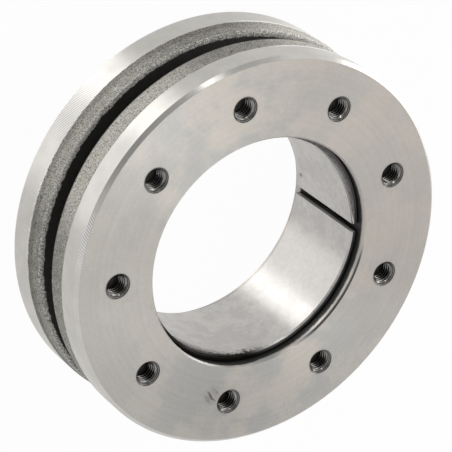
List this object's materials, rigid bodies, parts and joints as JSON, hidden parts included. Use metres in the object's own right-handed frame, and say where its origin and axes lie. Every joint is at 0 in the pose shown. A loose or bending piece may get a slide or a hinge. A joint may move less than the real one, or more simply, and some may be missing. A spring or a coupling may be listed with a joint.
{
  "type": "shrink disc",
  "caption": "Three-part shrink disc: tapped and plain thrust rings drawn together by hexagon screws over a slit double-taper inner ring that clamps a hub.",
  "frame": {"origin": "on the disc's axis, at the surface that the nine screw heads stand on", "axes": "+Z along the disc's axis, from the screw heads to the tapped front face; +X through the first screw"},
  "size_m": [0.185, 0.185, 0.0634],
  "materials": {
    "thrust_ring_steel": "turned faces and bands, forged skin beside the gap",
    "inner_ring_steel": "finely turned",
    "screw_steel": "black oxide"
  },
  "bodies": {
    "rear_ring": {"rear_thrust_ring": "thrust_ring_steel"},
    "front_ring": {"front_thrust_ring": "thrust_ring_steel"},
    "taper_ring": {"inner_ring": "inner_ring_steel"},
    "screw_1": {"locking_screw_1": "screw_steel"},
    "screw_2": {"locking_screw_2": "screw_steel"},
    "screw_3": {"locking_screw_3": "screw_steel"},
    "screw_4": {"locking_screw_4": "screw_steel"},
    "screw_5": {"locking_screw_5": "screw_steel"},
    "screw_6": {"locking_screw_6": "screw_steel"},
    "screw_7": {"locking_screw_7": "screw_steel"},
    "screw_8": {"locking_screw_8": "screw_steel"},
    "screw_9": {"locking_screw_9": "screw_steel"}
  },
  "joints": [
    {"name": "screw_1_turn", "type": "hinge", "parent": "rear_ring", "child": "screw_1", "pos_m": [0.072, 0, 0], "axis": [0, 0, 1], "range_deg": [-3961, 721]},
    {"name": "screw_2_turn", "type": "hinge", "parent": "rear_ring", "child": "screw_2", "pos_m": [0.05516, 0.04628, 0], "axis": [0, 0, 1], "range_deg": [-3961, 721]},
    {"name": "screw_3_turn", "type": "hinge", "parent": "rear_ring", "child": "screw_3", "pos_m": [0.0125, 0.07091, 0], "axis": [0, 0, 1], "range_deg": [-3961, 721]},
    {"name": "screw_4_turn", "type": "hinge", "parent": "rear_ring", "child": "screw_4", "pos_m": [-0.036, 0.06235, 0], "axis": [0, 0, 1], "range_deg": [-3961, 721]},
    {"name": "screw_5_turn", "type": "hinge", "parent": "rear_ring", "child": "screw_5", "pos_m": [-0.06766, 0.02463, 0], "axis": [0, 0, 1], "range_deg": [-3961, 721]},
    {"name": "screw_6_turn", "type": "hinge", "parent": "rear_ring", "child": "screw_6", "pos_m": [-0.06766, -0.02463, 0], "axis": [0, 0, 1], "range_deg": [-3961, 721]},
    {"name": "screw_7_turn", "type": "hinge", "parent": "rear_ring", "child": "screw_7", "pos_m": [-0.036, -0.06235, 0], "axis": [0, 0, 1], "range_deg": [-3961, 721]},
    {"name": "screw_8_turn", "type": "hinge", "parent": "rear_ring", "child": "screw_8", "pos_m": [0.0125, -0.07091, 0], "axis": [0, 0, 1], "range_deg": [-3961, 721]},
    {"name": "screw_9_turn", "type": "hinge", "parent": "rear_ring", "child": "screw_9", "pos_m": [0.05516, -0.04628, 0], "axis": [0, 0, 1], "range_deg": [-3961, 721]},
    {"name": "front_ring_travel", "type": "slide", "parent": "rear_ring", "child": "front_ring", "axis": [0, 0, 1], "range_m": [-0.003, 0.0165]},
    {"name": "inner_ring_travel", "type": "slide", "parent": "rear_ring", "child": "taper_ring", "axis": [0, 0, 1], "range_m": [-0.00151, 0.00826]}
  ],
  "couplings": [
    {"joint": "screw_1_turn", "follows": "front_ring_travel", "rad_per_m": -4188.8},
    {"joint": "screw_2_turn", "follows": "front_ring_travel", "rad_per_m": -4188.8},
    {"joint": "screw_3_turn", "follows": "front_ring_travel", "rad_per_m": -4188.8},
    {"joint": "screw_4_turn", "follows": "front_ring_travel", "rad_per_m": -4188.8},
    {"joint": "screw_5_turn", "follows": "front_ring_travel", "rad_per_m": -4188.8},
    {"joint": "screw_6_turn", "follows": "front_ring_travel", "rad_per_m": -4188.8},
    {"joint": "screw_7_turn", "follows": "front_ring_travel", "rad_per_m": -4188.8},
    {"joint": "screw_8_turn", "follows": "front_ring_travel", "rad_per_m": -4188.8},
    {"joint": "screw_9_turn", "follows": "front_ring_travel", "rad_per_m": -4188.8},
    {"joint": "inner_ring_travel", "follows": "front_ring_travel", "ratio": 0.5}
  ]
}
